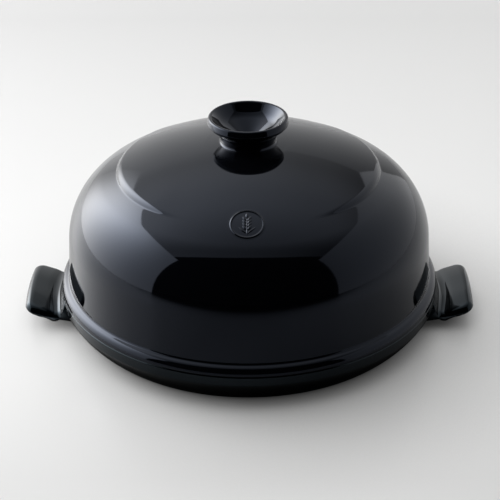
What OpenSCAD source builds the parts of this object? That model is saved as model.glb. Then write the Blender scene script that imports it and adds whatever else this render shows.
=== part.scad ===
// Bread cloche in glazed ceramic: a shallow round dish with two lug handles, and a domed lid with a
// hollow knob. The origin is on the table, under the centre of the dish, with the handles along X.

/* [Rim] */
// Outer diameter of the dish's rim and of the lid's flange
rim_d = 285; // [280:1:290]
// Height of the seat that the lid rests on, above the table
seat_h = 26.5; // [24:0.5:30]
// Rounding of the two edges that meet along the seat
seat_edge_r = 1.2; // [0.6:0.1:2]

/* [Dish] */
// How far the flat ring that stands on the table stays back from the rim
foot_inset = 15; // [11:0.5:20]
// Width of that standing ring
foot_w = 9; // [6:0.5:12]
// How far the underside is raised inside the standing ring
foot_h = 1.5; // [1:0.25:3]
// Thickness of the dish's floor
floor_t = 8; // [6:0.5:10]
// Height of the upright band around the rim, down to the knee of the side
rim_band_h = 7.5; // [6:0.5:9]
// Radius of the rounded side between the knee and the standing ring
side_r = 58; // [40:1:90]
// Radius of the corner between the dish's floor and its wall
floor_corner_r = 9; // [6:0.5:12]
// Outward lean of the dish's inner wall, in degrees
well_lean = 8; // [4:1:12]

/* [Locating ring] */
// Height of the ring that stands inside the lid, above the seat
ring_h = 4; // [3.5:0.5:6]
// Thickness of that ring
ring_w = 5; // [4:0.5:6]
// Clearance between the ring and the lid
ring_clearance = 1.2; // [0.6:0.1:2]

/* [Handles] */
// Distance between the tips of the two handles
handle_span = 340; // [334:1:346]
// Width of a handle, front to back
handle_w = 70; // [62:1:80]
// Height of a handle's lip at its tip, over its outermost edge
handle_t = 9; // [8:0.5:10]
// Height of that outermost edge above the table
handle_tip_z = 13.5; // [12.5:0.5:14.5]
// Upward slope of a handle's underside towards its tip, in degrees
handle_slope = 10; // [7:1:11]
// Upward slope of a handle's upper face, in degrees
handle_top_slope = 19; // [16:1:20]
// Corner radius of a handle, seen from above
handle_corner_r = 13; // [10:1:18]
// Rounding of a handle's upper edges
handle_top_r = 5; // [3:0.5:5]
// Rounding of a handle's lower edges
handle_low_r = 2; // [1:0.5:2]
// Radius of the hollow fillet where a handle rises to the rim
handle_fillet_r = 5.5; // [4:0.5:7]
// Distance from a handle's tip to the foot of that fillet
handle_reach = 16.5; // [15:0.5:19]
// Height of the rise above the handle's upper face
handle_rise_h = 10.5; // [9.5:0.5:11]

/* [Dome] */
// Height of the dome above the table
dome_h = 141; // [136:1:146]
// Width of the flange outside the foot of the dome's wall
flange_w = 5.5; // [4:0.5:7.5]
// Thickness of the dome
wall = 8; // [6.5:0.5:9]
// Inward lean of the dome's wall, in degrees
wall_lean = 3; // [1:0.5:5]
// Radius of the dome's shoulder
shoulder_r = 55; // [50:1:60]
// Radius of the shallow crown
crown_r = 215; // [205:1:230]
// Height of the flange
flange_h = 7; // [6:0.5:9]
// Rounding of the flange's upper edge
flange_top_r = 3; // [2:0.5:4]
// Hollow fillet between the flange and the wall
flange_fillet_r = 1; // [0.5:0.25:1.5]

/* [Crescents] */
// Distance from the foot of the dome's wall in to the outer edge of the raised crescents
crescent_inset = 41; // [37:1:45]
// Height of a crescent's edge at the side of the dome
crescent_rise = 2.5; // [1.5:0.25:3]
// Angle from the side at which a crescent has died away, in degrees
crescent_angle = 60; // [50:1:66]
// Rounding of a crescent's outer edge
crescent_edge_r = 8; // [6:0.5:10]

/* [Knob] */
// Height of the knob's crest above the top of the dome
knob_h = 19; // [16:0.5:22]
// Diameter of the knob at the lower edge of its rim
knob_d = 60.2; // [58:0.1:62]
// Height of the knob's rim
knob_rim_h = 4.6; // [4.2:0.1:5]
// How far the ring along the knob's crest stays back from that edge
crest_inset = 2.4; // [2:0.1:3]
// Rounding of that crest
crest_r = 1.6; // [1.3:0.1:1.8]
// Width of the bevel under the rim
bevel_w = 2.2; // [1.6:0.1:3]
// Height of that bevel
bevel_h = 2.6; // [2:0.1:3]
// How far the knob's neck stays back from its edge
neck_inset = 10.3; // [9.6:0.1:11]
// Radius of the hollow flare between the neck and the bevel
neck_flare_r = 16; // [15:0.5:17]
// Fillet between the neck and the crown
neck_fillet_r = 2; // [1:0.25:3]
// Slope of the wall at the cup's mouth from the knob's axis, in degrees
cup_angle = 40; // [38:0.5:42]
// Slope of the cup's wall farther down
cup_low_angle = 57; // [54:1:60]
// How far the steep wall at the mouth reaches in from the crest
cup_mouth_w = 6; // [5:0.5:7]
// Radius of the bend between these two walls
cup_bend_r = 20; // [14:1:24]
// Thickness of the ceramic under the cup's floor
cup_floor_t = 9; // [8:0.5:10]
// Radius of the hollow around the cup's floor
cup_corner_r = 12; // [8:1:14]

/* [Hidden] */
$fn = 144;
// Finer facets for the arcs of the crown, which are long
crown_fn = 3 * $fn;
// Colour of the glaze
glaze = "#17191d";
// Overlap that joins the solids of one casting
bond = 1;
// Turn that puts the start of each turned form at the back, away from handles and crescents
seam_turn = 90;
// How far a cut runs on past the surface that it opens
run_out = 12;

rim_r = rim_d / 2;
foot_r = rim_r - foot_inset;
dome_r = rim_r - flange_w;
crescent_r = dome_r - crescent_inset;
flange_z = seat_h + flange_h;
knee_z = seat_h - rim_band_h;
floor_z = foot_h + floor_t;

// Unit vector at an angle
function unit(a) = [cos(a), sin(a)];

// Centre of the circle of radius r through p and q, on the left of the way from p to q
function circle_through(p, q, r) =
    let (half = (q - p) / 2)
    p + half + sqrt(r * r - half * half) * [-half[1], half[0]] / norm(half);
side_c = circle_through([foot_r, 0], [rim_r, knee_z], side_r);

// Radius of the dome's wall at height z, before it reaches the shoulder
function wall_r(z) = dome_r + (flange_z - z) * tan(wall_lean);

// The shoulder touches the crown and the wall from inside, which fixes its centre
crown_c = [0, dome_h - crown_r];
centre_gap = crown_r - shoulder_r;
centre_out = wall_r(crown_c[1]) * cos(wall_lean) - shoulder_r;
centre_up = sqrt(centre_gap * centre_gap - centre_out * centre_out);
shoulder_c = crown_c + centre_out * unit(wall_lean) + centre_up * unit(wall_lean + 90);
// Direction from the crown's centre to the place where crown and shoulder meet
crown_end = atan2(shoulder_c[1] - crown_c[1], shoulder_c[0]);

// Height of the crown's surface at radius r
function crown_z(r) = crown_c[1] + sqrt(crown_r * crown_r - r * r);

// Ring that locates the lid from inside
ring_out_r = wall_r(seat_h) - wall / cos(wall_lean) - ring_clearance;
ring_in_r = ring_out_r - ring_w;
ring_nose_r = ring_w / 2;
ring_nose_z = seat_h + ring_h - ring_nose_r;

// Knob: the crest, the two edges under it and the centre of the hollow flare
knob_top_z = dome_h + knob_h;
rim_edge = [knob_d / 2, knob_top_z - knob_rim_h];
crest_c = [rim_edge[0] - crest_inset, knob_top_z - crest_r];
bevel_edge = rim_edge - [bevel_w, bevel_h];
neck_r = rim_edge[0] - neck_inset;
flare_x = neck_r + neck_flare_r;
flare_drop = sqrt(pow(neck_flare_r, 2) - pow(flare_x - bevel_edge[0], 2));
flare_c = [flare_x, bevel_edge[1] - flare_drop];
// The rim's side leaves the crest as a tangent, the cup's wall at a small angle
crest_crease = 4;
rim_way = rim_edge - crest_c;
rim_touch = atan2(rim_way[1], rim_way[0]) + acos(crest_r / norm(rim_way));
crest_out = crest_c + crest_r * unit(rim_touch);
crest_in = crest_c + crest_r * unit(180 - cup_angle - crest_crease);
cup_floor_z = dome_h - wall + cup_floor_t;
// Where the cup's two walls would meet, and the centres of its bend and of its lower hollow
cup_knee = crest_in - cup_mouth_w * [1, tan(90 - cup_angle)];
bend_set_back = cup_bend_r * tan((cup_low_angle - cup_angle) / 2);
bend_c = cup_knee + bend_set_back * unit(90 - cup_angle) + cup_bend_r * unit(180 - cup_angle);
cup_low_r = cup_knee[0] - (cup_knee[1] - cup_floor_z) * tan(cup_low_angle);
cup_corner_c = [cup_low_r - cup_corner_r * tan(45 - cup_low_angle / 2), cup_floor_z + cup_corner_r];

// Tilt and sinking that let a crescent stand out at the side and die away at its angle
crescent_tilt = asin(crescent_rise / (crescent_r * (1 - cos(crescent_angle))));
crescent_sink = crescent_r * sin(crescent_tilt) * cos(crescent_angle);
// Angle around the axis that a crescent's body takes up on each side of the middle
crescent_half = crescent_angle + 12;
// Slope of a crescent's edge where it meets the dome, in degrees
crescent_slope = 68;
// Direction in which the rounded edge leaves the crown's curve, measured from the axis
crescent_turn = asin(
    (crescent_r - crescent_edge_r * sin(crescent_slope)) / (crown_r - crescent_edge_r));
// Thickness and inner radius of a crescent's body, which lies hidden in the dome's wall
crescent_t = wall * 0.55;
crescent_in_r = crescent_r * 0.62;

// Length of a handle, from its tip to its end inside the rim
handle_len = handle_span / 2 - ring_in_r - ring_nose_r;
handle_straight = handle_w - 2 * handle_corner_r;
// How far the block with the lower rounding stands outside the other one, and the turn of that
// rounding at the tip's outermost edge
low_grow = 0.1;
low_turn = acos(1 - low_grow / handle_low_r);
// Depth of the two blocks that a handle is cut from
handle_depth = 3 * handle_t;
// The rise at a handle's root is a little narrower than the handle
rise_w = handle_w - handle_top_r;

// Half section of a disc between two heights, with its upper outer edge rounded
module disc_section(r, low_z, high_z, edge_r) {
    corner = [r - edge_r, high_z - edge_r];
    translate([0, low_z]) square([r, corner[1] - low_z]);
    translate([0, low_z]) square([corner[0], high_z - low_z]);
    intersection() {
        translate(corner) circle(edge_r);
        translate([0, low_z]) square([r, high_z - low_z]);
    }
}

// Half section of a disc with both outer edges rounded
module plate_section(r, low_z, high_z, low_r, high_r) {
    intersection() {
        disc_section(r, low_z, high_z, high_r);
        translate([0, low_z + high_z]) mirror([0, 1]) disc_section(r, low_z, high_z, low_r);
    }
}

// Half section of a cup's hollow: flat floor, rounded corner, wall leaning out to radius r at z
module cup_section(r, z, bottom_z, lean, corner_r) {
    bottom_r = r - (z - bottom_z) * tan(lean);
    corner = [bottom_r - corner_r / tan(45 + lean / 2), bottom_z + corner_r];
    polygon([
        [0, bottom_z],
        [corner[0], bottom_z],
        corner,
        corner + corner_r * unit(-lean),
        [r, z],
        [r, z + run_out],
        [0, z + run_out],
    ]);
    intersection() {
        translate(corner) circle(corner_r);
        translate([0, bottom_z]) square([r, 2 * corner_r]);
    }
}

// Section of the fillet between an upright wall at radius r and the face below it at height z
module fillet_section(r, z, fillet_r) {
    difference() {
        translate([r - bond, z - bond]) square(fillet_r + bond);
        translate([r + fillet_r, z + fillet_r]) circle(fillet_r);
    }
}

// Half section of the dish
module dish_section() {
    difference() {
        union() {
            disc_section(rim_r, knee_z, seat_h, seat_edge_r);
            square([side_c[0], knee_z]);
            intersection() {
                translate(side_c) circle(side_r);
                square([rim_r, knee_z]);
            }
            translate([ring_in_r, seat_h - bond]) square([ring_w, ring_nose_z - seat_h + bond]);
            translate([ring_in_r + ring_nose_r, ring_nose_z]) circle(ring_nose_r);
        }
        cup_section(ring_in_r, ring_nose_z, floor_z, well_lean, floor_corner_r);
        translate([0, -bond]) square([foot_r - foot_w, foot_h + bond]);
    }
}

// Half section across a handle's block: its upper or its lower edge is rounded
module handle_edge_section(half_width, upper) {
    if (upper) {
        disc_section(half_width, -handle_depth, 0, handle_top_r);
    } else {
        mirror([0, 1]) disc_section(half_width, -handle_depth, 0, handle_low_r);
    }
}

// One of the two blocks that share a handle's outline: its face is at 0, its tip at the origin
module handle_block(grow, upper) {
    for (side = [0, 1]) mirror([0, side, 0])
        translate([-handle_corner_r, handle_straight / 2, 0])
            rotate_extrude(angle = 90) handle_edge_section(handle_corner_r + grow, upper);
    translate([-handle_corner_r, handle_straight / 2, 0])
        rotate([90, 0, 0]) linear_extrude(handle_straight)
            for (side = [0, 1]) mirror([side, 0])
                handle_edge_section(handle_corner_r + grow, upper);
    translate([-handle_len, 0, 0]) rotate([90, 0, 90]) linear_extrude(handle_len - handle_corner_r)
        for (side = [0, 1]) mirror([side, 0]) handle_edge_section(handle_w / 2 + grow, upper);
}

// The hollow rise from a handle's upper face to the rim, rounded off at its two ends
module handle_rise() {
    intersection() {
        translate([0, handle_w / 2, 0]) rotate([90, 0, 0]) linear_extrude(handle_w)
            difference() {
                translate([-handle_len, -handle_t / 2])
                    square([handle_len - handle_reach, handle_rise_h + handle_t / 2]);
                translate([-handle_reach, handle_fillet_r]) circle(handle_fillet_r);
                translate([-handle_reach - handle_fillet_r, handle_fillet_r])
                    square([2 * handle_fillet_r, handle_rise_h]);
            }
        translate([-handle_len, 0, 0]) rotate([90, 0, 90]) linear_extrude(handle_len)
            for (side = [0, 1]) mirror([side, 0])
                disc_section(rise_w / 2, -handle_t, handle_rise_h, handle_top_r);
    }
}

// One handle in its place, on the side where X is positive. Its underside and its upper face
// slope differently, and both blocks turn around the outermost edge of the tip
module handle() {
    translate([handle_span / 2, 0, handle_tip_z]) {
        intersection() {
            rotate([0, -handle_top_slope, 0]) translate([0, 0, handle_t]) handle_block(0, true);
            rotate([0, -handle_slope, 0])
                translate([0, 0, -handle_low_r * (1 - sin(low_turn))])
                    handle_block(low_grow, false);
        }
        rotate([0, -handle_top_slope, 0]) translate([0, 0, handle_t]) handle_rise();
    }
}

// Half section of the space under the dome's surface moved inwards by inset, above height z
module dome_section(inset, z) {
    wedge_r = crown_r * 1.1;
    intersection() {
        union() {
            translate(shoulder_c) circle(shoulder_r - inset);
            intersection() {
                translate(crown_c) circle(crown_r - inset, $fn = crown_fn);
                polygon([crown_c, crown_c + wedge_r * unit(crown_end), crown_c + [0, wedge_r]]);
            }
            polygon([
                [0, z],
                [wall_r(z) - inset / cos(wall_lean), z],
                shoulder_c + (shoulder_r - inset) * unit(wall_lean),
                shoulder_c,
                [0, shoulder_c[1]],
            ]);
        }
        translate([0, z]) square([rim_r, dome_h]);
    }
}

// Half section of the knob without its crest: flared neck, bevel and rim
module knob_section() {
    difference() {
        polygon([
            [0, dome_h - wall / 2],
            [flare_c[0], dome_h - wall / 2],
            bevel_edge,
            rim_edge,
            crest_out,
            crest_in,
            [0, crest_in[1]],
        ]);
        translate(flare_c) circle(neck_flare_r);
    }
}

// Half section of the hollow in the knob: a steep mouth that bends into a shallower bowl
module knob_cup_section() {
    polygon([
        [0, cup_floor_z],
        [cup_corner_c[0], cup_floor_z],
        cup_corner_c + cup_corner_r * unit(-cup_low_angle),
        bend_c + cup_bend_r * unit(-cup_low_angle),
        bend_c + cup_bend_r * unit(-cup_angle),
        crest_in,
        crest_in + [0, run_out],
        [0, crest_in[1] + run_out],
    ]);
    for (hollow = [[cup_corner_c, cup_corner_r], [bend_c, cup_bend_r]]) intersection() {
        translate(hollow[0]) circle(hollow[1]);
        translate([0, cup_floor_z]) square([crest_in[0], crest_in[1] - cup_floor_z]);
    }
}

// Half section of the lid
module lid_section() {
    difference() {
        union() {
            dome_section(0, seat_h);
            plate_section(rim_r, seat_h, flange_z, seat_edge_r, flange_top_r);
            fillet_section(wall_r(flange_z), flange_z, flange_fillet_r);
            fillet_section(neck_r, crown_z(neck_r + neck_fillet_r), neck_fillet_r);
            knob_section();
            translate(crest_c) circle(crest_r);
        }
        dome_section(wall, seat_h - bond);
        knob_cup_section();
    }
}

// Half section of a crescent before it is tilted: the crown's curve with a rounded outer edge
module crescent_section() {
    turn = unit(90 - crescent_turn);
    difference() {
        union() {
            translate(crown_c + (crown_r - crescent_edge_r) * turn) circle(crescent_edge_r);
            intersection() {
                translate(crown_c) circle(crown_r, $fn = crown_fn);
                polygon([crown_c, crown_c + crown_r * 1.1 * turn, crown_c + [0, crown_r * 1.1]]);
            }
        }
        translate(crown_c) circle(crown_r - crescent_t, $fn = crown_fn);
        translate(crown_c) square([crescent_in_r, 2 * crown_r]);
    }
}

// One crescent in its place, on the side where X is positive
module crescent() {
    translate([0, 0, dome_h - crescent_sink])
        rotate([0, -crescent_tilt, 0])
            translate([0, 0, -dome_h])
                rotate([0, 0, -crescent_half])
                    rotate_extrude(angle = 2 * crescent_half) crescent_section();
}

module base() {
    color(glaze) {
        rotate([0, 0, seam_turn]) rotate_extrude() dish_section();
        for (side = [0, 1]) mirror([side, 0, 0]) handle();
    }
}

module lid() {
    color(glaze) {
        rotate([0, 0, seam_turn]) rotate_extrude() lid_section();
        for (side = [0, 1]) mirror([side, 0, 0]) crescent();
    }
}

base();
lid();
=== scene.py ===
from math import asin, atan2, cos, degrees, hypot, pi, radians, sin, sqrt, tan

import bmesh
import bpy
from mathutils import Matrix, Vector


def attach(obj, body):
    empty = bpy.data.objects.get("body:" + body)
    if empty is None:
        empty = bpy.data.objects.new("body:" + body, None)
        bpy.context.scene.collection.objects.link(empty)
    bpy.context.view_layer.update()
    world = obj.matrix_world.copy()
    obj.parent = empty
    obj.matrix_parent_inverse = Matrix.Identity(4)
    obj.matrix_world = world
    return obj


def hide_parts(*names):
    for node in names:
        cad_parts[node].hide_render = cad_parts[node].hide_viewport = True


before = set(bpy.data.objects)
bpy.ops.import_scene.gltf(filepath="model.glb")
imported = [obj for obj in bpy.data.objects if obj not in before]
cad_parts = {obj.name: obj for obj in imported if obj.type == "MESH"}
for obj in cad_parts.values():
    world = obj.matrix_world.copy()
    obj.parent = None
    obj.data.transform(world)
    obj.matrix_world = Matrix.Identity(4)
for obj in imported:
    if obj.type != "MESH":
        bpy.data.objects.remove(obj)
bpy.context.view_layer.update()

# Both castings carry one glossy, almost black stoneware glaze, fired on in a single coat.
# It is a little uneven: the tone drifts, and its skin is very faintly wavy.
glaze_skin = bpy.data.node_groups.new("glaze skin", "ShaderNodeTree")
for socket_name, direction, socket_type in (
    ("Thin", "INPUT", "NodeSocketColor"),
    ("Thick", "INPUT", "NodeSocketColor"),
    ("Waves", "INPUT", "NodeSocketFloat"),
    ("Color", "OUTPUT", "NodeSocketColor"),
    ("Roughness", "OUTPUT", "NodeSocketFloat"),
    ("Height", "OUTPUT", "NodeSocketFloat"),
):
    glaze_skin.interface.new_socket(name=socket_name, in_out=direction, socket_type=socket_type)


def add_node(tree, kind, **values):
    """A node of a kind, with its properties and the defaults of its inputs set"""
    node = tree.nodes.new("ShaderNode" + kind)
    for key, value in values.items():
        if key in node.inputs:
            node.inputs[key].default_value = value
        else:
            setattr(node, key, value)
    return node


skin_in = glaze_skin.nodes.new("NodeGroupInput")
skin_out = glaze_skin.nodes.new("NodeGroupOutput")
skin_place = add_node(glaze_skin, "TexCoord")
drift = add_node(glaze_skin, "TexNoise", Scale=9.0, Detail=3.0, Roughness=0.55)
pooling = add_node(glaze_skin, "TexNoise", Scale=60.0, Detail=4.0, Roughness=0.6)
tone = add_node(glaze_skin, "Mix", data_type="RGBA")
gloss = add_node(
    glaze_skin, "MapRange", **{"From Min": 0.3, "From Max": 0.7, "To Min": 0.035, "To Max": 0.075}
)
waves = add_node(glaze_skin, "TexNoise", Scale=26.0, Detail=1.5, Roughness=0.4)
wave_height = add_node(glaze_skin, "Math", operation="MULTIPLY")
for noise in (drift, pooling, waves):
    glaze_skin.links.new(skin_place.outputs["Object"], noise.inputs["Vector"])
mottle = add_node(glaze_skin, "Math", operation="MULTIPLY_ADD")
mottle.inputs[1].default_value = 0.55
glaze_skin.links.new(pooling.outputs["Fac"], mottle.inputs[0])
glaze_skin.links.new(drift.outputs["Fac"], mottle.inputs[2])
spread = add_node(
    glaze_skin, "MapRange", **{"From Min": 0.55, "From Max": 1.0, "To Min": 0.0, "To Max": 1.0}
)
glaze_skin.links.new(mottle.outputs["Value"], spread.inputs["Value"])
glaze_skin.links.new(spread.outputs["Result"], tone.inputs["Factor"])
glaze_skin.links.new(skin_in.outputs["Thin"], tone.inputs["A"])
glaze_skin.links.new(skin_in.outputs["Thick"], tone.inputs["B"])
glaze_skin.links.new(tone.outputs["Result"], skin_out.inputs["Color"])
glaze_skin.links.new(drift.outputs["Fac"], gloss.inputs["Value"])
glaze_skin.links.new(gloss.outputs["Result"], skin_out.inputs["Roughness"])
glaze_skin.links.new(waves.outputs["Fac"], wave_height.inputs[0])
glaze_skin.links.new(skin_in.outputs["Waves"], wave_height.inputs[1])
glaze_skin.links.new(wave_height.outputs["Value"], skin_out.inputs["Height"])


def glazed(name, thin, thick, sheen, wave_size):
    """A material of the black glaze, its tone going from thin to thick"""
    material = bpy.data.materials.new(name)
    material.use_nodes = True
    tree = material.node_tree
    shader = tree.nodes["Principled BSDF"]
    shader.inputs["IOR"].default_value = 1.5
    shader.inputs["Specular IOR Level"].default_value = 0.31
    shader.inputs["Specular Tint"].default_value = sheen
    skin = tree.nodes.new("ShaderNodeGroup")
    skin.node_tree = glaze_skin
    skin.inputs["Thin"].default_value = thin
    skin.inputs["Thick"].default_value = thick
    skin.inputs["Waves"].default_value = wave_size
    bump = add_node(tree, "Bump", Strength=1.0, Distance=0.001)
    tree.links.new(skin.outputs["Color"], shader.inputs["Base Color"])
    tree.links.new(skin.outputs["Roughness"], shader.inputs["Roughness"])
    tree.links.new(skin.outputs["Height"], bump.inputs["Height"])
    tree.links.new(bump.outputs["Normal"], shader.inputs["Normal"])
    return material


dish_glaze = glazed(
    "dish glaze", thin=(0.0011, 0.0016, 0.0019, 1), thick=(0.0007, 0.0010, 0.0013, 1),
    sheen=(0.67, 0.85, 1.0, 1), wave_size=0.10
)

# The base is a shallow dish of cast stoneware on a turned foot, with a flat well for the loaf.
# Its profile is drawn as half a section and turned once around the upright axis.
SECTORS = 288
foot_r = 0.1275
foot_w = 0.009
foot_h = 0.0015
rim_r = 0.1425
seat_z = 0.0265
band_h = 0.0075
foot_edge_r = 0.0008
well_z = 0.0095
well_lean = radians(8)
well_corner_r = 0.009
side_arc_r = 0.058
side_start = 3
knee_r = 0.003
seat_edge_r = 0.0012


def start_profile(name, r, z):
    """Starts a piece as a single point of its half section, in edit mode"""
    bpy.ops.object.select_all(action="DESELECT")
    bpy.ops.mesh.primitive_plane_add(size=0.001)
    piece = bpy.context.object
    piece.name = name
    bpy.ops.object.mode_set(mode="EDIT")
    bpy.ops.mesh.select_all(action="SELECT")
    bpy.ops.mesh.merge(type="CENTER")
    bpy.ops.mesh.select_all(action="SELECT")
    bpy.ops.transform.translate(value=(r, 0, z))
    return piece


def profile_end():
    """The point at which the section has arrived"""
    mesh = bmesh.from_edit_mesh(bpy.context.edit_object.data)
    return next(v.co.copy() for v in mesh.verts if v.select)


def arc_round(centre, turn, parts):
    """Carries the section on around a centre, by a turn in degrees, anticlockwise"""
    bpy.ops.mesh.spin(
        steps=parts, angle=radians(turn), center=(centre[0], 0, centre[1]), axis=(0, 1, 0)
    )


def line_to(r, z, parts=1):
    """Carries the section straight on to a point, as an arc around a centre very far off"""
    far = 8
    shortest = 0.000002
    here = profile_end()
    run = Vector((r - here[0], z - here[2]))
    if run.length < shortest:
        return
    side = Vector((-run[1], run[0])).normalized()
    turn = 2 * degrees(asin(run.length / 2 / far))
    centre = Vector((here[0], here[2])) + run / 2 + side * sqrt(far**2 - run.length**2 / 4)
    arc_round(centre, turn, parts)


def direction(p, q):
    """Direction from p to q in degrees"""
    return degrees(atan2(q[1] - p[1], q[0] - p[0]))


def turn_on_wheel(piece):
    """Turns the section full circle and closes its seam and poles"""
    bpy.ops.mesh.select_all(action="SELECT")
    bpy.ops.mesh.spin(steps=SECTORS, angle=2 * pi, center=(0, 0, 0), axis=(0, 0, 1))
    bpy.ops.mesh.select_all(action="SELECT")
    bpy.ops.mesh.remove_doubles(threshold=0.000008)
    bpy.ops.mesh.normals_make_consistent(inside=False)
    bpy.ops.object.mode_set(mode="OBJECT")
    bpy.ops.object.shade_smooth()


def round_corner(corner, before, after, radius, parts):
    """Runs the section up to a corner and round it, with a short guard line on both sides"""
    way_in = (Vector(corner) - Vector(before)).normalized()
    way_out = (Vector(after) - Vector(corner)).normalized()
    turn = -degrees(way_in.angle_signed(way_out))
    guard = 0.0003
    set_back = radius * tan(radians(abs(turn)) / 2)
    start = Vector(corner) - way_in * set_back
    side = Vector((-way_in[1], way_in[0])) * (1 if turn > 0 else -1)
    here = profile_end()
    if (start - Vector((here[0], here[2]))).length > 4 * guard:
        line_to(*(start - way_in * guard))
    line_to(start[0], start[1])
    arc_round(start + side * radius, turn, parts)
    if (Vector(after) - Vector(corner)).length - set_back > 6 * guard:
        line_to(*(Vector(corner) + way_out * (set_back + guard)))


def round_corners(points, corners):
    """Draws a polyline from the present point, rounding the corners that have a radius"""
    for i in range(1, len(points) - 1):
        radius, parts = corners.get(i, (0, 0))
        if radius:
            round_corner(points[i], points[i - 1], points[i + 1], radius, parts)
        else:
            line_to(*points[i])
    line_to(*points[-1])


knee_z = seat_z - band_h
foot_point = Vector((foot_r, 0))
knee_point = Vector((rim_r, knee_z))
half_way = (knee_point - foot_point) / 2
side_arc_c = (
    foot_point + half_way
    + Vector((-half_way[1], half_way[0])).normalized() * sqrt(side_arc_r**2 - half_way.length**2)
)
ring_out = 0.1282
ring_in = 0.1232
ring_nose_r = (ring_out - ring_in) / 2
ring_nose_z = 0.028

dish = start_profile("dish", 0, foot_h)
foot_in = foot_r - foot_w
line_to(foot_in - 0.004, foot_h, 6)
round_corners(
    [(foot_in - 0.004, foot_h), (foot_in, foot_h), (foot_in + 0.001, 0), (foot_r - 0.004, 0)],
    {1: (foot_edge_r, 3), 2: (0.0005, 3)},
)
foot_turn = direction(side_arc_c, foot_point)
knee_turn = direction(side_arc_c, knee_point)
first_turn = radians(foot_turn + side_start)
side_first = side_arc_c + side_arc_r * Vector((cos(first_turn), sin(first_turn)))
round_corners([(foot_r - 0.004, 0), (foot_r, 0), side_first], {1: (foot_edge_r, 4)})
arc_round(side_arc_c, knee_turn - foot_turn - side_start - 2.2, 26)
before_knee = profile_end()
round_corners(
    [(before_knee[0], before_knee[2]), tuple(knee_point), (rim_r, seat_z - 0.0014)],
    {1: (knee_r, 6)},
)
round_corners(
    [(rim_r, seat_z - 0.0014), (rim_r, seat_z), (ring_out, seat_z), (ring_out, ring_nose_z)],
    {1: (seat_edge_r, 6), 2: (0.0006, 3)},
)
arc_round((ring_out - ring_nose_r, ring_nose_z), 180, 10)
well_foot_r = ring_in - (ring_nose_z - well_z) * tan(well_lean)
round_corners(
    [(ring_in, ring_nose_z), (well_foot_r, well_z), (0.1, well_z)],
    {1: (well_corner_r, 12)},
)
line_to(0.0, well_z, 8)
turn_on_wheel(dish)
dish.data.materials.append(dish_glaze)
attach(dish, "root")

# Two flat grips are cast in one with the dish, left and right, sloping up a little outwards.
# Each is a slab with well rounded edges that climbs to the rim in a hollow fillet.
grip_span = 0.340
grip_w = 0.070
grip_t = 0.009
grip_tip_z = 0.0135
grip_slope = radians(10)
grip_top_slope = radians(19)
grip_corner_r = 0.008
grip_top_r = 0.005
grip_low_r = 0.002
grip_low = -0.0014
grip_reach = 0.0190
grip_fillet_r = 0.0055
grip_rise = 0.0105
grip_len = grip_span / 2 - ring_in - ring_nose_r

bpy.ops.object.select_all(action="DESELECT")
bpy.ops.mesh.primitive_cube_add(size=1, location=(-grip_len / 2, 0, (grip_low + grip_t) / 2))
grip = bpy.context.object
grip.name = "handle"
grip.scale = (grip_len, grip_w, grip_t - grip_low)
bpy.ops.object.transform_apply(location=True, rotation=True, scale=True)
bpy.ops.object.mode_set(mode="EDIT")


def select_edges(chosen):
    """Selects the edges whose two ends pass a test, and nothing else"""
    bpy.ops.mesh.select_all(action="DESELECT")
    bpy.ops.mesh.select_mode(type="EDGE")
    mesh = bmesh.from_edit_mesh(bpy.context.edit_object.data)
    for edge in mesh.edges:
        edge.select_set(chosen(edge.verts[0].co, edge.verts[1].co))
    bmesh.update_edit_mesh(bpy.context.edit_object.data)


def cut_across(places, axis):
    """Cuts the piece right through at places along an axis"""
    for place in places:
        bpy.ops.mesh.select_all(action="SELECT")
        bpy.ops.mesh.bisect(
            plane_co=[place if i == axis else 0 for i in range(3)],
            plane_no=[1 if i == axis else 0 for i in range(3)],
        )


select_edges(lambda a, b: a.x > -0.001 and b.x > -0.001 and abs(a.z - b.z) > 0.001)
bpy.ops.mesh.bevel(offset=grip_corner_r, segments=12, affect="EDGES")
select_edges(lambda a, b: min(a.z, b.z) > grip_t - 1e-5)
bpy.ops.mesh.bevel(offset=grip_top_r, segments=9, affect="EDGES")
select_edges(lambda a, b: max(a.z, b.z) < grip_low + 1e-5)
bpy.ops.mesh.bevel(offset=grip_low_r, segments=5, affect="EDGES")
cut_across([-grip_reach - 0.0006 * i for i in range(-10, 40)], 0)
cut_across([0.0035 * i for i in range(-8, 9)], 1)
bpy.ops.object.mode_set(mode="OBJECT")


def ease(value, start, end):
    """Goes smoothly from 0 at start to 1 at end"""
    t = min(max((value - start) / (end - start), 0), 1)
    return t * t * (3 - 2 * t)


def climb(way):
    """How far back and up the upper face has got, at a distance along it past the fillet"""
    dip_turn = radians(12)
    dip = 0.00087
    nose = 0.0015
    arc_start = -grip_fillet_r * sin(dip_turn)
    wall_h = grip_rise + dip - grip_fillet_r - nose
    if way < arc_start:
        return way, -0.0007 * ease(way, arc_start - 0.0056, arc_start + 0.0056) * 2
    turn = (way - arc_start) / grip_fillet_r - dip_turn
    if turn < pi / 2:
        return grip_fillet_r * sin(turn), grip_fillet_r * (1 - cos(turn)) - dip
    way = (turn - pi / 2) * grip_fillet_r
    if way < wall_h:
        return grip_fillet_r, grip_fillet_r + way - dip
    turn = min((way - wall_h) / nose, pi / 2)
    rest = max(way - wall_h - nose * pi / 2, 0)
    return grip_fillet_r + nose * (1 - cos(turn)) + rest, grip_rise - nose + nose * sin(turn)


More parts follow.
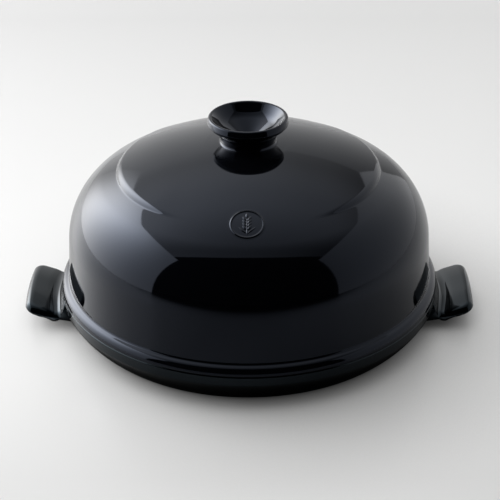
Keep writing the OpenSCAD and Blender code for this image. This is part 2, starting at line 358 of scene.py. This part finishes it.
fillet_foot = grip_span / 2 - grip_reach
grip_half_w = grip_w / 2
lip_draw = 0.0016
top_overhang = 0.0011
tip_curve = 0.25
camber = 0.0022
camber_start = 0.008
for v in grip.data.vertices:
    u, side, w = v.co
    # the fillet runs around the dish, and the tip is convex
    behind = -grip_reach - u - (fillet_foot - sqrt(fillet_foot**2 - side**2))
    tip = min(max((u + 0.030) / 0.025, 0), 1)
    upper = min(max((w - 0.0006) / (grip_t - grip_top_r - 0.0006), 0), 1)
    u -= tip * (1 - upper) * lip_draw * (abs(side) / grip_half_w) ** 4
    u += upper * top_overhang - tip * (1 - 0.62 * upper) * side**2 / tip_curve
    # the upper face is a little full, so it falls off slowly to both sides
    w -= upper * camber * max((abs(side) - camber_start) / 0.027, 0) ** 2
    if behind > -0.0075:
        back, up = climb(behind)
        u += upper * (behind - back)
        w += upper * up
    slope = grip_slope + (grip_top_slope - grip_slope) * upper
    v.co.x = grip_span / 2 + u * cos(slope) - w * sin(slope)
    v.co.z = grip_tip_z + u * sin(slope) + w * cos(slope)
bpy.ops.object.select_all(action="DESELECT")
grip.select_set(True)
bpy.context.view_layer.objects.active = grip
bpy.ops.object.duplicate()
grip_2 = bpy.context.object
grip_2.data.transform(Matrix.Rotation(pi, 4, "Z"))
for piece in (grip, grip_2):
    bpy.ops.object.select_all(action="DESELECT")
    piece.select_set(True)
    bpy.context.view_layer.objects.active = piece
    bpy.ops.object.shade_smooth()
    piece.data.materials.append(dish_glaze)
    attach(piece, "root")
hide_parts("base")

# The lid is a thick stoneware dome with a flange around its mouth and a cup-shaped knob.
# Dome and knob are one casting, drawn as one half section from the crown's inside outwards.
dome_top = 0.141
wall = 0.008
lean = 3
crown_r = 0.215
shoulder_r = 0.055
flange_z = 0.0335
mouth_r = 0.137
crown_z = dome_top - crown_r
crown_c = Vector((0, crown_z))


def way(angle):
    """Unit vector in the section's plane, at an angle in degrees"""
    return Vector((cos(radians(angle)), sin(radians(angle))))


def wall_at(z):
    """Radius of the dome's outer wall at height z"""
    return mouth_r + (flange_z - z) * tan(radians(lean))


across = wall_at(crown_z) * cos(radians(lean)) - shoulder_r
along = sqrt((crown_r - shoulder_r) ** 2 - across**2)
shoulder_c = crown_c + way(lean) * across + way(lean + 90) * along
crown_end = direction(crown_c, shoulder_c)
inner_mouth = wall_at(seat_z) - wall / cos(radians(lean))

knob_top = 0.160
crest_r = 0.0016
crest_c = Vector((0.0277, knob_top - crest_r))
knob_rim = Vector((0.0301, 0.1554))
knob_bevel = Vector((0.0279, 0.1528))
neck_r = 0.0198
flare_r = 0.016
flare_x = neck_r + flare_r
flare_c = Vector((flare_x, knob_bevel[1] - sqrt(flare_r**2 - (flare_x - knob_bevel[0]) ** 2)))
cup_slope = 40
cup_low_slope = 57
cup_mouth_w = 0.006
cup_floor_z = 0.142
cup_bend_r = 0.020
cup_corner_r = 0.012
neck_fillet_r = 0.0020

lid = start_profile("lid", 0, crown_z + crown_r - wall)
arc_round(crown_c, crown_end - 90, 26)
arc_round(shoulder_c, lean - crown_end, 18)
inner_wall = tuple(shoulder_c + way(lean) * (shoulder_r - wall))
bead_z = seat_z + 0.0010
round_corners(
    [inner_wall, (inner_mouth, seat_z), (rim_r, seat_z), (rim_r, bead_z)],
    {1: (seat_edge_r, 4), 2: (0.0006, 4)},
)
# the flange is a full, rounded bead that meets the wall in a hollow crease
bead_r = 0.0057
bead_turn = 65
crease_w = 0.00243
crease_r = 0.0022
bead_c = Vector((rim_r - bead_r, bead_z))
arc_round(bead_c, bead_turn, 14)
bead_end = profile_end()
crease_low = Vector((bead_end[0], bead_end[2])) + crease_w * way(90 + bead_turn)
round_corners(
    [(bead_end[0], bead_end[2]), tuple(crease_low), (wall_at(0.040), 0.040)],
    {1: (crease_r, 8)},
)
wall_top = shoulder_c + way(lean) * shoulder_r
line_to(wall_top[0], wall_top[1], 2)
arc_round(shoulder_c, crown_end - lean, 46)
# the crown's rings stand close together where the crescents' edges will be raised
turn_now = 90 - crown_end
for r, rings in (
    (0.0995, 8), (0.0985, 4), (0.0890, 46), (0.086, 6), (0.060, 20), (neck_r + 0.0030, 24)
):
    turn_next = degrees(asin(r / crown_r))
    arc_round(crown_c, turn_now - turn_next, rings)
    turn_now = turn_next
crown_foot = profile_end()
neck_foot = Vector((neck_r + 0.0001, crown_z + sqrt(crown_r**2 - neck_r**2)))
flare_turn = asin((neck_foot[1] + 0.0023 - flare_c[1]) / flare_r)
flare_foot = flare_c + flare_r * way(180 - degrees(flare_turn))
round_corners(
    [(crown_foot[0], crown_foot[2]), tuple(neck_foot), tuple(flare_foot)],
    {1: (neck_fillet_r, 10)},
)
flare_end = direction(flare_c, knob_bevel)
arc_round(flare_c, -(180 - degrees(flare_turn) - flare_end) + 2.4, 16)
flare_top = profile_end()
rim_middle = (knob_rim + crest_c + Vector((crest_r, 0))) / 2
round_corners(
    [(flare_top[0], flare_top[2]), tuple(knob_bevel), tuple(knob_rim), tuple(rim_middle)],
    {1: (0.0009, 4), 2: (0.0011, 5)},
)
rim_way = knob_rim - crest_c
tangent = sqrt(rim_way.length**2 - crest_r**2)
crest_start = degrees(atan2(rim_way[1], rim_way[0])) + degrees(atan2(tangent, crest_r))
crest_out = crest_c + crest_r * way(crest_start)
line_to(*crest_out)
arc_round(crest_c, 180 - cup_slope - crest_start, 16)
crest_in = crest_c + crest_r * way(180 - cup_slope)
line_to(*(crest_in - 0.0003 * way(90 - cup_slope)))
cup_knee = crest_in - cup_mouth_w * Vector((1, tan(radians(90 - cup_slope))))
cup_foot = cup_knee[0] - (cup_knee[1] - cup_floor_z) * tan(radians(cup_low_slope))
round_corners(
    [tuple(crest_in), tuple(cup_knee), (cup_foot, cup_floor_z), (0.0, cup_floor_z)],
    {1: (cup_bend_r, 10), 2: (cup_corner_r, 14)},
)
turn_on_wheel(lid)
lid_glaze = glazed(
    "lid glaze", thin=(0.0011, 0.0013, 0.0019, 1), thick=(0.0007, 0.0008, 0.0014, 1),
    sheen=(0.67, 0.77, 1.0, 1), wave_size=0.10
)
lid.data.materials.append(lid_glaze)

# Two shallow crescents are raised on the crown, left and right: each is a cap of the same curve,
# tilted up a little at its outer end. The glaze softens its edge and fills the crease below it.
crescent_r = 0.096
crescent_rise = 0.0025
crescent_angle = radians(60)
crescent_edge_r = 0.008
crescent_slope = radians(68)
crease_soft = 0.0005
tilt = asin(crescent_rise / (crescent_r * (1 - cos(crescent_angle))))
sink = crescent_r * sin(tilt) * cos(crescent_angle)
edge_turn = asin((crescent_r - crescent_edge_r * sin(crescent_slope)) / (crown_r - crescent_edge_r))
edge_c = crown_c + (crown_r - crescent_edge_r) * Vector((sin(edge_turn), cos(edge_turn)))


def crown_at(r):
    """Height of the crown's surface at radius r"""
    return crown_z + sqrt(crown_r**2 - r**2)


def above_crescent(x, y, z):
    """How far a point stands outside the tilted cap that makes a crescent"""
    z -= dome_top - sink
    r = hypot(x * cos(tilt) + z * sin(tilt), y)
    z = z * cos(tilt) - x * sin(tilt) + dome_top
    if atan2(r, z - crown_z) < edge_turn:
        return hypot(r, z - crown_z) - crown_r
    return hypot(r - edge_c[0], z - edge_c[1]) - crescent_edge_r


def crescent_height(r, angle):
    """Height of the tilted cap over the crown, at radius r and an angle from the side"""
    x, y, ground = r * cos(angle), r * sin(angle), crown_at(r)
    low, high = ground - 0.003, ground + 0.0045
    if above_crescent(x, y, low) > 0:
        return low - ground
    for _ in range(22):
        middle = (low + high) / 2
        if above_crescent(x, y, middle) > 0:
            high = middle
        else:
            low = middle
    return low - ground


def crease_radius(angle):
    """Radius of the crease at the foot of a crescent's edge"""
    low, high = 0.0885, 0.0990
    for _ in range(16):
        middle = (low + high) / 2
        if crescent_height(middle, angle) > -0.0004:
            low = middle
        else:
            high = middle
    return low


crease_0 = crease_radius(0)
angles = [i * 2 * pi / SECTORS for i in range(SECTORS)]
creases = {}
for v in lid.data.vertices:
    r = hypot(v.co.x, v.co.y)
    if v.co.z < 0.100 or r > 0.1068 or r < 0.030 or abs(v.co.z - crown_at(r)) > 0.0001:
        continue
    angle = atan2(v.co.y, abs(v.co.x))
    key = round(abs(angle), 4)
    if key > radians(88):
        continue
    if key not in creases:
        creases[key] = crease_radius(min(key, radians(62)))
    # the rings of the mesh first bend along the crease, then the crescent rises out of them
    shift = (creases[key] - crease_0) * (1 - ease(key, radians(64), radians(86)))
    shift *= ease(r, 0.062, 0.088) * (1 - ease(r, 0.0990, 0.1065))
    new_r = r + shift
    edge = min(new_r, creases[key])
    rise = crescent_height(edge, key) - 2.6 * max(new_r - creases[key], 0)
    rise = (rise + sqrt(rise**2 + crease_soft**2)) / 2 * (1 - ease(key, radians(42), radians(66)))
    v.co.x *= new_r / r
    v.co.y *= new_r / r
    v.co.z = crown_at(new_r) + rise
lid.data.update()

# A small round badge is raised on the front of the crown: a thin ring around an ear of wheat.
# It belongs to the casting, and the glaze has run over it and softened it.
badge_r = 0.0925
badge_turn = radians(-90.1)
ring_r = 0.0114
badge_size = 0.0158
bpy.ops.object.select_all(action="DESELECT")
bpy.ops.mesh.primitive_circle_add(vertices=256, radius=badge_size, fill_type="NOTHING")
badge = bpy.context.object
badge.name = "badge"
bpy.ops.object.mode_set(mode="EDIT")
bpy.ops.mesh.select_all(action="SELECT")
rings = 84
for i in range(rings - 1):
    bpy.ops.mesh.extrude_region_move()
    bpy.ops.transform.resize(value=[(rings - i - 1) / (rings - i)] * 2 + [1])
bpy.ops.mesh.extrude_region_move()
bpy.ops.mesh.merge(type="CENTER")
bpy.ops.mesh.select_all(action="SELECT")
bpy.ops.mesh.normals_make_consistent(inside=False)
bpy.ops.object.mode_set(mode="OBJECT")


def grain(u, v, along, across, lean_out):
    """A seed or a leaf of the ear: its middle, half length, half width and lean from upright"""
    return (u / 1000, v / 1000, along / 1000, across / 1000, radians(lean_out))


ear = [grain(0, 7.3, 1.9, 0.8, 0), grain(0, -2.2, 6.4, 0.32, 0)]
for side in (-1, 1):
    for row in range(4):
        ear.append(grain(side * 1.75, 4.6 - 2.55 * row, 1.75, 0.82, side * 30))
    ear.append(grain(side * 3.1, -5.4, 3.0, 0.5, side * 47))


def badge_height(u, v):
    """Height of the relief at a place on the badge"""
    far = hypot(u, v)
    height = 0.00042 * 2.718 ** -(((far - ring_r) / 0.00062) ** 2)
    for mid_u, mid_v, along, across, lean_out in ear:
        du, dv = u - mid_u, v - mid_v
        long_way = (du * sin(lean_out) + dv * cos(lean_out)) / along
        short_way = (du * cos(lean_out) - dv * sin(lean_out)) / across
        height = max(height, 0.00040 * 2.718 ** -((long_way**2 + short_way**2) ** 2 * 0.8))
    return height + 0.00003 - 0.00010 * ease(far, ring_r + 0.0008, badge_size)


badge_mid = Vector((badge_r * cos(badge_turn), badge_r * sin(badge_turn), crown_at(badge_r)))
centre = Vector((0, 0, crown_z))
badge_out = (badge_mid - centre).normalized()
badge_right = Vector((-sin(badge_turn), cos(badge_turn), 0))
badge_up = badge_out.cross(badge_right)
for v in badge.data.vertices:
    u, w = v.co.x, v.co.y
    ray = (badge_mid + u * badge_right + w * badge_up - centre).normalized()
    v.co = centre + ray * (crown_r + badge_height(u, w))
bpy.ops.object.shade_smooth()
badge.data.materials.append(lid_glaze)
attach(badge, "root")
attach(lid, "root")
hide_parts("lid")

# The cloche stands on a plain pale table in a light tent: two side panels, a roof and a back
# panel, which give off a soft light, the left one most. The tent is open and dark at the front.
tent_half = 1.1
tent_top = 1.46
wall_front = -0.74
roof_front = -0.59
tent_back = 2.1
bpy.ops.object.select_all(action="DESELECT")
bpy.ops.mesh.primitive_plane_add(size=12)
table = bpy.context.object
table.name = "table"
table_top = bpy.data.materials.new("table top")
table_top.use_nodes = True
tree = table_top.node_tree
shader = tree.nodes["Principled BSDF"]
shader.inputs["Roughness"].default_value = 0.3
shader.inputs["Specular IOR Level"].default_value = 0.5


def ramp(tree, socket, start, end, low, high, shape="LINEAR"):
    """A value that goes from low to high as another goes from start to end"""
    node = add_node(tree, "MapRange", interpolation_type=shape)
    for name, value in (("From Min", start), ("From Max", end), ("To Min", low), ("To Max", high)):
        node.inputs[name].default_value = value
    tree.links.new(socket, node.inputs["Value"])
    return node.outputs[0]


def combine(tree, operation, *terms):
    """A sum, product or the like of sockets and numbers"""
    node = add_node(tree, "Math", operation=operation)
    for term, socket in zip(terms, node.inputs):
        if isinstance(term, float):
            socket.default_value = term
        else:
            tree.links.new(term, socket)
    return node.outputs[0]


def coordinates(tree):
    """The object coordinates x, y and z of a surface"""
    place = add_node(tree, "TexCoord")
    parts = add_node(tree, "SeparateXYZ")
    tree.links.new(place.outputs["Object"], parts.inputs[0])
    return parts.outputs


place_on = coordinates(tree)
# Seen only in reflections and in the light it bounces, the table's colour holds painted light and
# shade: it fades dark towards the open front and is lighter to the left and right.
front_painted_shade = ramp(tree, place_on["Y"], -0.66, -0.22, 0.03, 1.0, "SMOOTHSTEP")
seen = add_node(tree, "LightPath").outputs["Is Camera Ray"]
left_tone = ramp(tree, place_on["X"], -0.30, -0.08, 0.62, 0.36)
right_tone = ramp(tree, place_on["X"], 0.05, 0.30, 0.0, 0.20)
painted_reflection_tone = combine(tree, "MULTIPLY", front_painted_shade, combine(tree, "ADD", left_tone, right_tone))
x_squared = combine(tree, "POWER", place_on["X"], 2.0)
y_squared = combine(tree, "POWER", place_on["Y"], 2.0)
from_middle = combine(tree, "SQRT", combine(tree, "ADD", x_squared, y_squared))
# painted shadow: for these rays the table is painted dark close around the dish's foot
painted_reflection_tone = combine(tree, "MULTIPLY", painted_reflection_tone, ramp(tree, from_middle, 0.134, 0.180, 0.08, 1.0))
# the camera sees the table as an even pale colour, and all other rays see the painted light and
# shade above
stone_and_painted_shade = add_node(tree, "Mix", data_type="FLOAT")
tree.links.new(seen, stone_and_painted_shade.inputs["Factor"])
tree.links.new(painted_reflection_tone, stone_and_painted_shade.inputs["A"])
stone_and_painted_shade.inputs["B"].default_value = 0.34
tree.links.new(stone_and_painted_shade.outputs["Result"], shader.inputs["Base Color"])
# to the camera only, the table top has a painted glow of its own: strongest around the middle,
# weaker towards the front and back, and at the back weaker on the left and stronger on the right;
# an ambient-occlusion term dims it where the cloche shades it, as a painted shadow, more strongly
# from the middle rightwards
shade = add_node(tree, "AmbientOcclusion", samples=8, Distance=0.13)
front_part = ramp(tree, place_on["Y"], -0.22, -0.10, 0.35, 0.44)
back_part = ramp(tree, place_on["Y"], 0.0, 0.62, 1.0, 0.30)
painted_glow = combine(tree, "MULTIPLY", front_part, back_part)
far_back = ramp(tree, place_on["Y"], 0.0, 0.62, 0.0, 1.0)
sideways = ramp(tree, place_on["X"], -0.30, 0.35, -0.09, 0.10)
painted_glow = combine(tree, "ADD", painted_glow, combine(tree, "MULTIPLY", far_back, sideways))
painted_glow = combine(tree, "MULTIPLY", painted_glow, combine(
    tree, "POWER", shade.outputs["AO"], ramp(tree, place_on["X"], -0.16, 0.0, 0.5, 1.7)
))
tree.links.new(combine(tree, "MULTIPLY", seen, painted_glow), shader.inputs["Emission Strength"])
shader.inputs["Emission Color"].default_value = (1, 1, 0.99, 1)
table.data.materials.append(table_top)


def panel(name, corners):
    """A panel of the tent between four corners: its node tree and the strength of its glow"""
    bpy.ops.object.select_all(action="DESELECT")
    bpy.ops.mesh.primitive_plane_add(size=1)
    cloth = bpy.context.object
    cloth.name = name
    for v, corner in zip(cloth.data.vertices, corners):
        v.co = corner
    cloth.visible_camera = False
    glow = bpy.data.materials.new(name)
    glow.use_nodes = True
    tree = glow.node_tree
    tree.nodes.clear()
    emission = add_node(tree, "Emission")
    output = add_node(tree, "OutputMaterial")
    tree.links.new(emission.outputs[0], output.inputs["Surface"])
    cloth.data.materials.append(glow)
    return tree, emission.inputs["Strength"]


def square_off(tree, socket, middle, reach):
    """Squared distance of a coordinate from the middle of a lamp, in terms of its reach"""
    off = combine(tree, "DIVIDE", combine(tree, "SUBTRACT", socket, middle), reach)
    return combine(tree, "MULTIPLY", off, off)


# the left panel glows most in a wide, soft spot, as from a lamp behind it
tree, strength = panel("left panel", [
    (-tent_half, wall_front, 0), (-tent_half, tent_back, 0),
    (-tent_half, wall_front, tent_top), (-tent_half, tent_back, tent_top),
])
place_on = coordinates(tree)
y_off = square_off(tree, place_on["Y"], 0.75, 0.76)
z_off = square_off(tree, place_on["Z"], 0.84, 0.88)
off = combine(tree, "ADD", y_off, z_off)
spot = combine(tree, "POWER", 2.718, combine(tree, "MULTIPLY", off, -1.0))
tree.links.new(combine(tree, "MULTIPLY_ADD", spot, 10.2, 1.15), strength)

tree, strength = panel("right panel", [
    (tent_half, wall_front - 0.12, 0), (tent_half, tent_back, 0),
    (tent_half, wall_front, tent_top), (tent_half, tent_back, tent_top),
])
tree.links.new(ramp(tree, coordinates(tree)["Y"], -0.8, 1.5, 0.42, 1.05), strength)

tree, strength = panel("roof panel", [
    (-tent_half, roof_front, tent_top), (tent_half, roof_front, tent_top),
    (-tent_half, tent_back, tent_top), (tent_half, tent_back, tent_top),
])
place_on = coordinates(tree)
rise = ramp(tree, place_on["Y"], -0.40, 0.55, 0.29, 1.0, "SMOOTHSTEP")
fall = ramp(tree, place_on["Y"], 0.75, 1.7, 1.0, 0.64, "SMOOTHSTEP")
sideways = ramp(tree, place_on["X"], -tent_half, tent_half, 2.14, 0.45)
tree.links.new(combine(tree, "MULTIPLY", combine(tree, "MULTIPLY", rise, fall), sideways), strength)

tree, strength = panel("back panel", [
    (-tent_half, tent_back, 0), (tent_half, tent_back, 0),
    (-tent_half, tent_back, tent_top), (tent_half, tent_back, tent_top),
])
tree.links.new(ramp(tree, coordinates(tree)["X"], -tent_half, tent_half, 1.35, 0.45), strength)

world = bpy.data.worlds.new("studio")
bpy.context.scene.world = world
world.use_nodes = True
sky = world.node_tree
sky.nodes.clear()
room = add_node(sky, "Background", Strength=0.015)
backdrop = add_node(sky, "Background")
backdrop.inputs["Color"].default_value = (0.80, 0.80, 0.80, 1)
pick = add_node(sky, "MixShader")
path = add_node(sky, "LightPath")
sky.links.new(path.outputs["Is Camera Ray"], pick.inputs[0])
sky.links.new(room.outputs[0], pick.inputs[1])
sky.links.new(backdrop.outputs[0], pick.inputs[2])
sky_out = add_node(sky, "OutputWorld")
sky.links.new(pick.outputs[0], sky_out.inputs["Surface"])

camera_data = bpy.data.cameras.new("camera")
camera = bpy.data.objects.new("camera", camera_data)
bpy.context.collection.objects.link(camera)
camera_data.sensor_width = 36
camera_data.lens = 117.2
camera_data.shift_x = 0.00186
camera_tilt = radians(28.84)
camera_roll = radians(-0.44)
camera_yaw = radians(0.7)
camera.matrix_world = (
    Matrix.Rotation(camera_yaw, 4, "Z")
    @ Matrix.Translation((0, -1.0844, 0.6459))
    @ Matrix.Rotation(pi / 2 - camera_tilt, 4, "X")
    @ Matrix.Rotation(camera_roll, 4, "Z")
)
bpy.context.scene.camera = camera
bpy.context.scene.view_settings.view_transform = "Standard"
